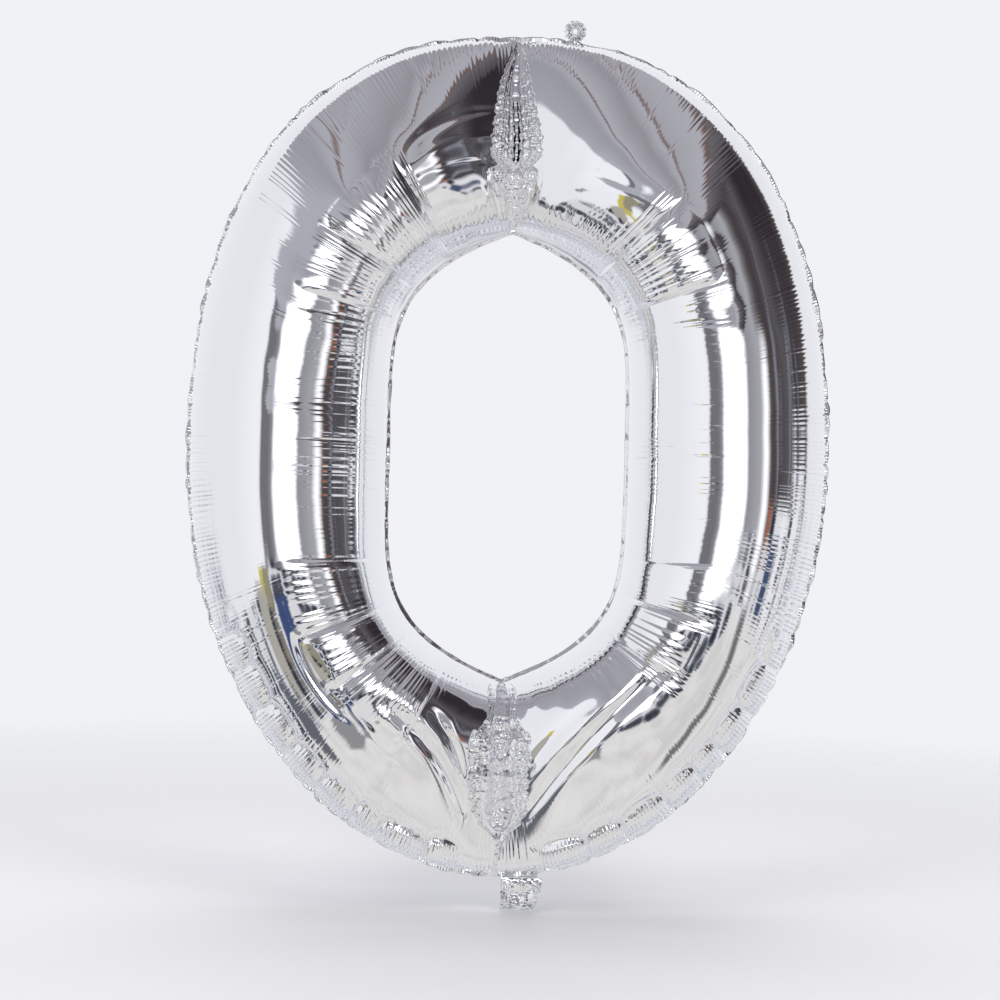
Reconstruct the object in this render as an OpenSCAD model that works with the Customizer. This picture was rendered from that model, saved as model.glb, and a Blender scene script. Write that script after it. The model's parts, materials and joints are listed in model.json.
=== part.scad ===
// Foil number balloon in the shape of a nought.
// Two foil sheets are welded together along an outer and an inner seam and blown up.
// X is the width, Y the depth with the front at -Y, and Z is up.
// The origin is the neck, where the tail leaves the outer seam and a ribbon is tied.

/* [Envelope] */
// Height of the blown-up nought, seam edge to seam edge
body_h = 860; // [760:5:1000]
// Width of the blown-up nought, seam edge to seam edge
body_w = 658; // [600:2:760]
// Height of the hole
hole_h = 452; // [400:2:500]
// Width of the hole
hole_w = 237; // [200:1:270]
// How square the upper half of the outline is; 2 is an ellipse
top_roundness = 2.35; // [2:0.05:2.8]
// How square the lower half of the outline is; 2 is an ellipse
bottom_roundness = 2; // [2:0.05:2.6]
// How late the hole's sides turn in to its pointed ends
hole_straightness = 5; // [3:0.5:8]
// Depth of the blown-up tube as a share of its width
fullness = 0.97; // [0.8:0.01:1.05]
// Depth of the folds at the top and the bottom as a share of the tube's depth
gather_depth = 0.4; // [0.1:0.05:0.5]
// Half width of those folds
gather_w = 22; // [16:1:40]

/* [Foil and seams] */
// Thickness of the foil walls
foil_t = 1; // [0.8:0.1:1.2]
// Thickness of the two welded foils in a seam
seam_t = 2; // [2:0.1:2.4]
// Width of the outer seam that stands past the walls
outer_flange = 6; // [4:0.5:9]
// Width of the inner seam that stands past the walls
inner_flange = 4; // [3:0.5:6]

/* [Tail] */
// Width of the tail
tail_w = 42; // [38:1:50]
// Length of the tail below the neck
tail_l = 30; // [25:1:60]
// Distance of the tail from the middle of the nought
tail_x = 26; // [20:1:40]

/* [Valve] */
// Width of the clear valve films
valve_w = 32; // [26:1:34]
// Length of the valve tongue inside the envelope
valve_l = 110; // [60:1:120]
// Thickness of each valve film
film_t = 0.85; // [0.6:0.05:0.85]
// Width of the welds along the valve's two edges
valve_weld_w = 3; // [2:0.5:5]

/* [Hanging tab] */
// Diameter of the tab
tab_d = 23; // [20:1:30]
// Distance of the tab from the middle of the nought
tab_x = 57; // [40:1:90]
// Radius of the punched hole
hole_r = 2.5; // [2:0.1:3.5]
// Width of the weld round the tab and round its hole
tab_weld_w = 2; // [1.5:0.1:2.5]

/* [Hidden] */

$fn = 64;
COLUMNS = 120;
ROWS = 14;

// Running gap at every fold
fold_gap = 0.3;
// How far a foil wall laps over its seam
lap = 2;
// Width of a foil wall's edge on its seam
edge_w = 1.5;
half_seam = seam_t / 2;

// The tail's fold is a roll about the origin's X axis
tail_roll_r = half_seam + foil_t;
tail_weld_w = (tail_w - valve_w) / 2;
lip_z = tail_roll_r + fold_gap;

// Middle of the nought
mid_x = -tail_x;
base_z = lip_z + 0.7;
mid_z = base_z + body_h / 2;

// The valve tongue swings just above the welded neck
film_gap = half_seam - film_t;
neck_top_z = base_z + 13;
valve_z = neck_top_z + fold_gap + film_t + film_gap;

// The tab folds on the outer seam
tab_t = 3;
tab_roll_r = tab_t / 2;
tab_layer = tab_t / 3;
tab_rise = tab_d * 0.3;
tab_slope = outline_slope(tab_x);
tab_root = outline_top(tab_x);
tab_lift = fold_gap + tab_roll_r + 0.1;

// A power that keeps the sign of its base
function keep_sign(v, p) = sign(v) * pow(abs(v), p);
// How square the outline is on the upper or lower half
function roundness(phi) = sin(phi) > 0 ? top_roundness : bottom_roundness;
// Turns an even step into an angle that steps finer near the top and bottom
function ring_angle(i) = let (u = 360 * i / COLUMNS) u + 17 * sin(2 * u);
// A point on the outer outline, moved inwards by an inset
function outer_point(phi, inset) =
    let (p = 2 / roundness(phi))
    [(body_w / 2 - inset) * keep_sign(cos(phi), p), (body_h / 2 - inset) * keep_sign(sin(phi), p)];
// A point on the hole's outline, moved outwards by an outset
function hole_point(phi, outset) =
    let (t = keep_sign(sin(phi), 2 / roundness(phi)))
    [(hole_w / 2 + outset) * sign(cos(phi)) * (1 - pow(abs(t), hole_straightness)),
     (hole_h / 2 + outset) * t];
function outer_outline(inset) = [for (i = [0 : COLUMNS - 1]) outer_point(ring_angle(i), inset)];
function hole_outline(outset) = [for (i = [0 : COLUMNS - 1]) hole_point(ring_angle(i), outset)];
// Height and slope of the upper outline at a distance from the middle
function outline_top(x) =
    body_h / 2 * pow(1 - pow(x / (body_w / 2), top_roundness), 1 / top_roundness);
function outline_slope(x) = atan((outline_top(x - 9) - outline_top(x + 9)) / 18);

// A point on a foil wall: phi goes round the nought, v across the tube from the hole to the rim
function wall_point(phi, v, edge, depth_cut) =
    let (inner = hole_point(phi, inner_flange + edge))
    let (outer = outer_point(phi, outer_flange + edge))
    let (middle = (inner + outer) / 2)
    let (half = (outer - inner) / 2)
    let (fold = gather_depth * exp(-pow(middle[0] / gather_w, 2)))
    let (depth = (norm(half) + edge) * fullness * (1 - fold) - depth_cut)
    [middle[0] - half[0] * cos(v), -half_seam - depth * sin(v), middle[1] - half[1] * cos(v)];
function wall_grid(edge, depth_cut) =
    [for (i = [0 : COLUMNS - 1]) for (j = [0 : ROWS])
        wall_point(ring_angle(i), 180 * j / ROWS, edge, depth_cut)];
function grid_index(i, j, layer) = layer * COLUMNS * (ROWS + 1) + (i % COLUMNS) * (ROWS + 1) + j;

// Quads of one layer of the wall, turned outwards or inwards
function layer_faces(layer, flip) =
    [for (i = [0 : COLUMNS - 1]) for (j = [0 : ROWS - 1])
        let (a = grid_index(i, j, layer))
        let (b = grid_index(i + 1, j, layer))
        let (c = grid_index(i + 1, j + 1, layer))
        let (d = grid_index(i, j + 1, layer))
        flip ? [a, b, c, d] : [d, c, b, a]];
// Flat edge that joins the two layers where the wall lies on a seam
function edge_faces(j, flip) =
    [for (i = [0 : COLUMNS - 1])
        let (a = grid_index(i, j, 0))
        let (b = grid_index(i + 1, j, 0))
        let (c = grid_index(i + 1, j, 1))
        let (d = grid_index(i, j, 1))
        flip ? [a, b, c, d] : [d, c, b, a]];

// One inflated foil wall, on the front side
module foil_wall() {
    translate([mid_x, 0, mid_z])
    polyhedron(
        points = concat(wall_grid(0, 0), wall_grid(edge_w, foil_t)),
        faces = concat(
            layer_faces(0, false), layer_faces(1, true),
            edge_faces(0, true), edge_faces(ROWS, false)
        ),
        convexity = 12
    );
}

// A flat shape in the X-Z plane, thickened about Y = 0
module seam_band() {
    translate([mid_x, 0, mid_z])
    rotate([90, 0, 0])
    linear_extrude(height = seam_t, center = true)
    children();
}

module front_foil() {
    color("silver") foil_wall();
}

module back_foil() {
    color("silver") mirror([0, 1, 0]) foil_wall();
}

// Outer weld, with the lip that carries the tail and the channel that the valve passes through
module outer_seam() {
    color("gainsboro")
    difference() {
        union() {
            seam_band()
            difference() {
                polygon(outer_outline(0));
                polygon(outer_outline(outer_flange + lap));
            }
            slab(-tail_w / 2, tail_w / 2, -half_seam, half_seam, lip_z, base_z + outer_flange);
        }
        slab(-valve_w / 2, valve_w / 2, -seam_t, seam_t, 0, base_z + 3 * outer_flange);
    }
}

module inner_seam() {
    color("gainsboro")
    seam_band()
    difference() {
        polygon(hole_outline(inner_flange + lap));
        polygon(hole_outline(0));
    }
}

// A box given by its lowest and highest values
module slab(x0, x1, y0, y1, z0, z1) {
    translate([x0, y0, z0]) cube([x1 - x0, y1 - y0, z1 - z0]);
}

// Keeps what lies below the fold and rounds the top end about the fold's axis
module rolled_down(r) {
    intersection() {
        children();
        union() {
            rotate([0, 90, 0]) cylinder(h = tail_w * 2, r = r, center = true);
            slab(-tail_w, tail_w, -r, r, -tail_l * 2, 0);
        }
    }
}

// Keeps what lies above the fold and rounds the low end about the fold's axis
module rolled_up(r, length) {
    intersection() {
        children();
        union() {
            rotate([0, 90, 0]) cylinder(h = tail_w * 2, r = r, center = true);
            slab(-tail_w, tail_w, -r, r, 0, length);
        }
    }
}

// One film of the welded neck, given by the side of the seam it lies on
module neck_film(side) {
    y0 = side > 0 ? film_gap : -half_seam;
    slab(-valve_w / 2, valve_w / 2, y0, y0 + film_t, lip_z, neck_top_z);
}

module valve_neck_front_film() {
    color("lightcyan") neck_film(-1);
}

module valve_neck_back_film() {
    color("lightcyan") neck_film(1);
}

// One foil of the tail
module tail_foil(side) {
    y0 = side > 0 ? half_seam : -tail_roll_r;
    rolled_down(tail_roll_r)
    slab(-tail_w / 2, tail_w / 2, y0, y0 + foil_t, -tail_l, tail_roll_r);
}

module tail_front_foil() {
    color("silver") tail_foil(-1);
}

module tail_back_foil() {
    color("silver") tail_foil(1);
}

module tail_side_welds() {
    color("gainsboro")
    rolled_down(tail_roll_r)
    for (side = [-1, 1]) {
        x = side * (tail_w - tail_weld_w) / 2;
        slab(x - tail_weld_w / 2, x + tail_weld_w / 2, -half_seam, half_seam, -tail_l, tail_roll_r);
    }
}

// One film of the valve's inlet, inside the tail
module inlet_film(side) {
    y0 = side > 0 ? film_gap : -half_seam;
    rolled_down(tail_roll_r)
    slab(-valve_w / 2, valve_w / 2, y0, y0 + film_t, -tail_l, tail_roll_r);
}

module valve_inlet_front_film() {
    color("lightcyan") inlet_film(-1);
}

module valve_inlet_back_film() {
    color("lightcyan") inlet_film(1);
}

// One film of the valve's tongue, which closes by the gas that presses on it
module tongue_film(side) {
    y0 = side > 0 ? film_gap : -half_seam;
    translate([0, 0, valve_z])
    rolled_up(half_seam, valve_l)
    slab(-valve_w / 2, valve_w / 2, y0, y0 + film_t, -half_seam, valve_l);
}

module valve_front_film() {
    color("lightcyan") tongue_film(-1);
}

module valve_back_film() {
    color("lightcyan") tongue_film(1);
}

module valve_side_welds() {
    color("azure")
    translate([0, 0, valve_z])
    for (side = [-1, 1]) {
        x = side * (valve_w - valve_weld_w) / 2;
        slab(x - valve_weld_w / 2, x + valve_weld_w / 2, -film_gap, film_gap, 0, valve_l);
    }
}

// Puts a shape drawn about the tab's fold in its place on the outer seam
module on_tab() {
    translate([mid_x + tab_x, 0, mid_z + tab_root])
    rotate([0, tab_slope, 0])
    translate([0, 0, tab_lift])
    children();
}

// A round plate cut off along the fold, where its end is rolled
module tab_plate(y0, y1, r) {
    intersection() {
        translate([0, y0, tab_rise]) rotate([-90, 0, 0]) cylinder(h = y1 - y0, r = r);
        union() {
            rotate([0, 90, 0]) cylinder(h = tab_d * 2, r = tab_roll_r, center = true);
            slab(-tab_d, tab_d, -tab_roll_r, tab_roll_r, 0, tab_d * 2);
        }
    }
}

// The punched hole goes through both foils and the weld between them
module tab_hole() {
    translate([0, 0, tab_rise]) rotate([90, 0, 0]) cylinder(h = tab_t * 2, r = hole_r, center = true);
}

module tab_front_foil() {
    color("silver")
    on_tab()
    difference() {
        tab_plate(-tab_roll_r, -tab_layer / 2, tab_d / 2);
        tab_hole();
    }
}

module tab_back_foil() {
    color("silver")
    on_tab()
    difference() {
        tab_plate(tab_layer / 2, tab_roll_r, tab_d / 2);
        tab_hole();
    }
}

// Weld round the tab's rim and round its hole; the air pocket lies between the two rings
module tab_weld() {
    color("gainsboro")
    on_tab()
    difference() {
        tab_plate(-tab_layer / 2, tab_layer / 2, tab_d / 2);
        difference() {
            tab_pocket(tab_d / 2 - tab_weld_w);
            tab_pocket(hole_r + tab_weld_w);
        }
        tab_hole();
    }
}

// A disc that cuts the air pocket, kept clear of the fold
module tab_pocket(r) {
    intersection() {
        translate([0, 0, tab_rise]) rotate([90, 0, 0]) cylinder(h = tab_t, r = r, center = true);
        slab(-tab_d, tab_d, -tab_t, tab_t, tab_weld_w, tab_d * 2);
    }
}

front_foil();
back_foil();
outer_seam();
inner_seam();
valve_neck_front_film();
valve_neck_back_film();
tail_front_foil();
tail_back_foil();
tail_side_welds();
valve_inlet_front_film();
valve_inlet_back_film();
valve_front_film();
valve_back_film();
valve_side_welds();
tab_front_foil();
tab_back_foil();
tab_weld();
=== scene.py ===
"""Looks of a foil number balloon, a silver nought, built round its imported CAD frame."""

import json
import math

import bpy
import numpy as np
from mathutils import Matrix, Vector


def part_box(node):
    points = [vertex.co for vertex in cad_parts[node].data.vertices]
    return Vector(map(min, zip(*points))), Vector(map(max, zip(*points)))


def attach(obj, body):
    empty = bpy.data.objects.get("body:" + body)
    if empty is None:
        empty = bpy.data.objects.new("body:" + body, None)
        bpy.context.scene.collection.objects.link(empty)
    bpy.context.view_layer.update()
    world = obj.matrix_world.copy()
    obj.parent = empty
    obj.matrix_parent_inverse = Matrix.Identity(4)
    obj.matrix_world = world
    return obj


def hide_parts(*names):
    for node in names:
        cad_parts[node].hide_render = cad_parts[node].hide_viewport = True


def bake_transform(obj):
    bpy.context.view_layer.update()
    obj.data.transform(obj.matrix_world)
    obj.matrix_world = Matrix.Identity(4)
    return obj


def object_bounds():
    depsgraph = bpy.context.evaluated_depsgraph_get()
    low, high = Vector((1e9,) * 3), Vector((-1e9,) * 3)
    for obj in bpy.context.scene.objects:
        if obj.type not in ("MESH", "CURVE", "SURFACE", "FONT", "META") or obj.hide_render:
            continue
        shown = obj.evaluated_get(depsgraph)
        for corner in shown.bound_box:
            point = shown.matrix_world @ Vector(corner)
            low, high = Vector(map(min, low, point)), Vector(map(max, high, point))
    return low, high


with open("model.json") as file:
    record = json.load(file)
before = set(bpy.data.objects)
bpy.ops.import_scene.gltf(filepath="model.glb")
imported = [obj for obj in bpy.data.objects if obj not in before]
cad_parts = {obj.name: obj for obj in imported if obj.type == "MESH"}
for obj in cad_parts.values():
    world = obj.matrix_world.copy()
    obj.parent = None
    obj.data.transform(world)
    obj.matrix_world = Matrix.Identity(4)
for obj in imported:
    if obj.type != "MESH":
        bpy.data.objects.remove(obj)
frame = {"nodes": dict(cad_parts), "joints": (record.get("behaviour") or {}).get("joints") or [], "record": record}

cad_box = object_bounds()
MM = 0.001

# ---- sizes, from the frame
outer_low, outer_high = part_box("outer_seam")
inner_low, inner_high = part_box("inner_seam")
MID_X = (inner_low[0] + inner_high[0]) / 2
MID_Z = (inner_low[2] + inner_high[2]) / 2
SEAM_LAP = 2 * MM
OUTER_FLANGE = 6 * MM
INNER_FLANGE = 4 * MM
HALF_W = (outer_high[0] - outer_low[0]) / 2
HALF_H = outer_high[2] - MID_Z
HOLE_HALF_W = (inner_high[0] - inner_low[0]) / 2 - INNER_FLANGE - SEAM_LAP
HOLE_HALF_H = (inner_high[2] - inner_low[2]) / 2 - INNER_FLANGE - SEAM_LAP
TUBE_R = (HALF_W - OUTER_FLANGE - HOLE_HALF_W - INNER_FLANGE) / 2

# The outline's formula is the CAD part's
TOP_ROUNDNESS = 2.35
BOTTOM_ROUNDNESS = 2.0
HOLE_STRAIGHTNESS = 5.0
FULLNESS = 0.97

# ---- mesh density
COLUMNS = 3072
ROWS = 100
FINE = 6
GATHER_SPAN = 36 * MM


def keep_sign(value, power):
    """A power that keeps the sign of its base."""
    return np.sign(value) * np.abs(value) ** power


def smooth_step(value, low, high):
    """0 below low, 1 above high, with a soft ramp between; low may be above high."""
    t = np.clip((value - low) / (high - low), 0, 1)
    return t * t * (3 - 2 * t)


def roundness(phi):
    return np.where(np.sin(phi) > 0, TOP_ROUNDNESS, BOTTOM_ROUNDNESS)


def outer_point(phi, inset=0.0):
    """A point of the outer outline, about the nought's middle."""
    p = 2 / roundness(phi)
    x = (HALF_W - inset) * keep_sign(np.cos(phi), p)
    z = (HALF_H - inset) * keep_sign(np.sin(phi), p)
    return np.stack([x, z], -1)


def hole_point(phi, outset=0.0):
    """A point of the hole's outline, about the nought's middle."""
    t = keep_sign(np.sin(phi), 2 / roundness(phi))
    x = (HOLE_HALF_W + outset) * np.sign(np.cos(phi)) * (1 - np.abs(t) ** HOLE_STRAIGHTNESS)
    return np.stack([x, (HOLE_HALF_H + outset) * t], -1)


def path_length(points):
    """Length along a polyline up to each of its points."""
    steps = np.linalg.norm(np.diff(points, axis=0), axis=1)
    return np.concatenate([[0], np.cumsum(steps)])


# Length along the tube's middle places the columns, length along the rim the pleats
DENSE = np.linspace(0, 2 * np.pi, 16385)
MID_LENGTH = path_length((outer_point(DENSE) + hole_point(DENSE)) / 2)
RING = MID_LENGTH[-1]
RIM_LENGTH = path_length(outer_point(DENSE))
RIM = RIM_LENGTH[-1]


def phi_at(s):
    """Ring angle at a length along the tube's middle."""
    return np.interp(np.mod(s, RING), MID_LENGTH, DENSE)


def rim_at(s):
    """Length along the rim at a length along the tube's middle."""
    return np.interp(phi_at(s), DENSE, RIM_LENGTH)


# Wrinkles on the inner side stand square to the hole's edge: a lap with straight sides, round ends
BEND_FROM = HOLE_HALF_H - HOLE_HALF_W
BEND_R = (HALF_W + HOLE_HALF_W) / 2
LAP = 4 * (BEND_FROM + BEND_R * math.pi / 2)


def lap_at(flat):
    """Length along the lap at a point of the plan."""
    x, z = flat[..., 0], flat[..., 1]
    straight = np.clip(z, -BEND_FROM, BEND_FROM)
    turn = np.arctan2(z - straight, np.abs(x) + 1e-9)
    along = straight + BEND_R * turn
    return np.where(x > 0, along, LAP / 2 - along) % LAP


def lap_of(side, level, turn):
    """Length along the lap for a side, a share of the straight height, and a turn in degrees."""
    along = level * BEND_FROM + BEND_R * math.radians(turn)
    return (along if side > 0 else LAP / 2 - along) % LAP


def lap_gap(lap, centre):
    """Signed distance along the lap from a centre, the short way round."""
    return np.mod(lap - centre + LAP / 2, LAP) - LAP / 2


class Cells:
    """Splits a closed line into cells of varied width, with random values for each."""

    def __init__(self, seed, length, width, spread=0.35):
        self.rng = np.random.default_rng(seed)
        edges = [0.0]
        while edges[-1] < length:
            step = width(edges[-1]) if callable(width) else width
            edges.append(edges[-1] + step * (1 + spread * self.rng.uniform(-1, 1)))
        self.length = length
        self.edges = np.array(edges) * (length / edges[-1])
        self.count = len(edges) - 1

    def draw(self, low, high):
        """One random value for each cell."""
        return self.rng.uniform(low, high, self.count)

    def find(self, place):
        """Each place's cell, and its share of the way through it."""
        place = np.mod(place, self.length)
        k = np.clip(np.searchsorted(self.edges, place, side="right") - 1, 0, self.count - 1)
        return k, (place - self.edges[k]) / (self.edges[k + 1] - self.edges[k])

    def knotted(self, values, place):
        """Straight lines between one value at each cell edge."""
        k, p = self.find(place)
        return values[k] * (1 - p) + values[(k + 1) % self.count] * p


def scallop(p):
    """A round back between two sharp valleys, from 0 to 1 and back."""
    return 1 - (2 * p - 1) ** 2


def waves(seed, count, shortest, longest):
    """A smooth periodic field over ring length and tube angle, about -1 to 1."""
    rng = np.random.default_rng(seed)
    turns = rng.integers(round(RING / longest), round(RING / shortest) + 1, count)
    across = rng.uniform(-1, 1, count) * TUBE_R / shortest * 1.5
    shift = rng.uniform(0, 2 * np.pi, count)

    def field(s, v):
        total = 0.0
        for n, m, c in zip(turns, across, shift):
            total = total + np.sin(2 * np.pi * n * s / RING + m * v + c)
        return total / math.sqrt(count)

    return field


def creases(seed, count, shortest, longest):
    """Crumpled film: straight folds in every direction, over plan coordinates."""
    rng = np.random.default_rng(seed)
    angle = rng.uniform(0, np.pi, count)
    length = np.geomspace(longest, shortest, count)
    shift = rng.uniform(0, 1, count)

    def field(x, z):
        total = 0.0
        for a, w, c in zip(angle, length, shift):
            along = (x * math.cos(a) + z * math.sin(a)) / w + c
            bend = 0.35 * np.sin(2 * np.pi * (z * math.cos(a) - x * math.sin(a)) / (3.1 * w) + 9 * c)
            fold = np.abs(np.mod(along + bend, 1) * 2 - 1) * 2 - 1
            total = total + fold * w / longest
        return total

    return field


# ---- the blown-up wall
def base_wall(phi, v):
    """The smooth front wall: v is 0 at the hole's seam and pi at the outer seam."""
    inner = hole_point(phi, INNER_FLANGE)
    outer = outer_point(phi, OUTER_FLANGE)
    half = (outer - inner) / 2
    flat = (outer + inner) / 2 - half * np.cos(v)[..., None]
    depth = np.linalg.norm(half, axis=-1) * FULLNESS * np.sin(v + crest_shift(flat) * np.sin(v) ** 2)
    depth = depth - round_off(flat, v)
    return np.stack([flat[..., 0], -depth, flat[..., 1]], -1)


def crest_shift(flat):
    """How far the tube's crest leans to the hole beside the deep folds, in radians of v."""
    x, z = np.abs(flat[..., 0]), flat[..., 1]
    low = 0.30 * smooth_step(x, 240 * MM, 60 * MM) * smooth_step(z, -60 * MM, -200 * MM)
    high = 0.14 * smooth_step(x, 240 * MM, 110 * MM) * smooth_step(z, 60 * MM, 200 * MM)
    return low + high


def round_off(flat, v):
    """How much the tube thins towards the deep folds, like the end of a sausage."""
    reach = (22 + 54 * np.abs(np.sin(v))) * MM
    deep = (54 + 5 * np.tanh(flat[..., 1] / 0.1)) * MM
    return deep * np.abs(np.sin(v)) ** 0.75 * np.exp(-(np.abs(flat[..., 0]) / reach) ** 1.25)


def outward(phi, v):
    """Direction from the tube's middle line to the wall."""
    half = outer_point(phi, OUTER_FLANGE) - hole_point(phi, INNER_FLANGE)
    half = half / (np.linalg.norm(half, axis=-1, keepdims=True) + 1e-12)
    flat = -half * np.cos(v)[..., None]
    return np.stack([flat[..., 0], -np.sin(v), flat[..., 1]], -1)


def wall_normal(phi, v):
    """Outward normals of the smooth wall."""
    e = 1e-4
    along = base_wall(phi + e, v) - base_wall(phi - e, v)
    across = base_wall(phi, v + e) - base_wall(phi, v - e)
    n = np.cross(along, across)
    n /= np.linalg.norm(n, axis=-1, keepdims=True) + 1e-12
    return n * np.where(np.sum(n * outward(phi, v), -1, keepdims=True) < 0, -1, 1)


# Drums, the bulges of the tube's inner side between its kinks: side, then level and turn of
# both ends, tube angle of the outer edge, bulge in mm
DRUMS = [
    (-1, 1.0, 13, 1.0, 31, 94, 3.0),
    (-1, 1.0, 31, 1.0, 56, 90, 6.0),
    (-1, -1.0, -21, -1.0, 0, 98, 2.6),
    (-1, -1.0, -38, -1.0, -21, 95, 6.5),
    (-1, -1.0, -62, -1.0, -38, 88, 5.5),
    (1, 1.0, 18, 1.0, 41.5, 93, 6.0),
    (1, -1.0, -14, -0.95, 0, 94, 1.4),
    (1, -1.0, -33, -1.0, -14, 88, 5.0),
]
# Small kinks across the drums: side, level, turn, depth in mm
KINKS = [
    (-1, 1.0, 13, 0.6), (-1, 1.0, 31, 1.5), (-1, 1.0, 56, 1.6), (-1, 0.42, 0, 0.4), (-1, 0.08, 0, 0.7),
    (-1, -0.45, 0, 0.35), (-1, -1.0, 0, 0.5), (-1, -1.0, -21, 1.4), (-1, -1.0, -38, 1.4),
    (-1, -1.0, -50, 0.6), (1, 1.0, 9, 0.6), (1, 1.0, 18, 1.3), (1, 1.0, 41.5, 1.6),
    (1, 0.02, 0, 0.7), (1, -0.95, 0, 0.4), (1, -1.0, -14, 1.1), (1, -1.0, -33, 1.6), (1, 0.5, 0, 0.35),
]
# How far out the ribs reach on each side: level, turn, tube angle in degrees
RIB_REACH = {
    -1: [(-1, -90, 26), (-1, -68, 40), (-1, -60, 72), (-1, -45, 82), (-1, -19, 92), (-1, 0, 90),
         (-0.8, 0, 82), (0.9, 0, 82), (1, 15, 88), (1, 33, 90), (1, 54, 88), (1, 60, 52), (1, 76, 45),
         (1, 90, 26)],
    1: [(-1, -90, 26), (-1, -62, 42), (-1, -40, 50), (-1, -32, 78), (-1, -14, 86), (-1, 0, 86),
        (-0.8, 0, 84), (0.9, 0, 84), (1, 20, 88), (1, 40, 82), (1, 47, 58), (1, 64, 52), (1, 76, 45),
        (1, 90, 26)],
}
# Long folds of the lobes, in mm about the middle: start, end, sideways sag, half width, height
LONG_FOLDS = [
    ((-124, -239), (-36, -356), 14, 8, -3.8),
    ((-104, -246), (-38, -330), 10, 6, 1.6),
    ((-75, -246), (-36, -318), 6, 5, -2.2),
    ((-204, -178), (-150, -262), -8, 4, -1.1),
    ((-186, -180), (-96, -312), -6, 9, 1.0),
    ((176, -190), (30, -358), -10, 8, -3.4),
    ((140, -214), (34, -322), -6, 7, 1.5),
    ((96, -236), (34, -300), -4, 6, -1.2),
    ((-112, 286), (-18, 346), 12, 7, -1.3),
    ((-108, 270), (-20, 318), 10, 5, 0.9),
    ((-112, 252), (-22, 292), 8, 5, -1.2),
    ((118, 262), (26, 286), -6, 5, -1.0),
    ((150, 240), (30, 268), -8, 4, 0.6),
]


def bend_share(lap):
    """0 on the straight sides, 1 in the bends."""
    folded = np.abs(np.mod(lap + LAP / 4, LAP / 2) - LAP / 4)
    return smooth_step(folded, BEND_FROM * 0.95, BEND_FROM + 25 * MM)


def rib_reach(lap):
    """Tube angle at which the ribs end."""
    gap = lap_gap(lap, 0.0)
    right = np.abs(gap) <= LAP / 4
    along = np.where(right, gap, np.sign(gap) * LAP / 2 - gap)
    reach = {}
    for side, rows in RIB_REACH.items():
        places = [level * BEND_FROM + BEND_R * math.radians(turn) for level, turn, _ in rows]
        reach[side] = np.interp(along, places, [degrees for _, _, degrees in rows])
    return np.where(right, reach[1], reach[-1])


def drum_relief(lap, v):
    """Bulging drums with a crease at their outer edges."""
    total = np.zeros_like(lap)
    for side, low, low_turn, high, high_turn, edge_deg, bulge in DRUMS:
        start = lap_of(side, low, low_turn)
        half = lap_gap(lap_of(side, high, high_turn), start) / 2
        to_end = abs(half) - np.abs(lap_gap(lap, start + half))
        full = np.clip(to_end / (13 * MM), 0, 1)
        full = np.sqrt(full * (2 - full))
        edge = math.radians(edge_deg) - 0.16 * (1 - full)
        share = np.clip((v - 0.25) / (edge - 0.25), 0, 1)
        total += bulge * MM * full * np.sin(np.pi * share ** 1.1)
    return total


def kink_relief(lap, v):
    """Bundles of fine folds across the inner side of the tube."""
    height = np.zeros_like(lap)
    for number, (side, level, turn, depth) in enumerate(KINKS):
        gap = lap_gap(lap, lap_of(side, level, turn)) + 1.5 * MM * np.sin(3 * v + number)
        reach = math.radians(98 if depth > 1 else 88)
        fade = smooth_step(v, reach, reach - 0.5) * smooth_step(v, 0.1, 0.6)
        height -= 0.8 * depth * MM * fade * np.exp(-np.abs(gap) / (2.2 * MM))
        for line in (-9, -5.5, 4.5, 8.5, 13):
            place = (line + math.sin(number * 5 + line)) * MM
            away = gap - place - 3 * MM * np.sin(1.3 * v) * (line / 9)
            height -= 0.25 * depth * MM * fade * np.exp(-(away / (1.0 * MM)) ** 2)
    return height


def fold_relief(flat):
    """Long folds that run through the lobes to the deep folds."""
    height = np.zeros(flat.shape[:-1])
    for start, end, sag, half_width, depth in LONG_FOLDS:
        start = np.array(start) * MM
        run = np.array(end) * MM - start
        length = np.linalg.norm(run)
        run = run / length
        along = ((flat - start) @ run) / length
        across = (flat - start) @ np.array([-run[1], run[0]])
        across = across - sag * MM * scallop(np.clip(along, -0.2, 1.2))
        window = smooth_step(along, -0.05, 0.3) * smooth_step(along, 1.12, 0.8)
        width = half_width * MM * (1.15 - 0.5 * np.clip(along, 0, 1))
        height += depth * MM * window * np.exp(-(across / width) ** 2)
    return height


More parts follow.
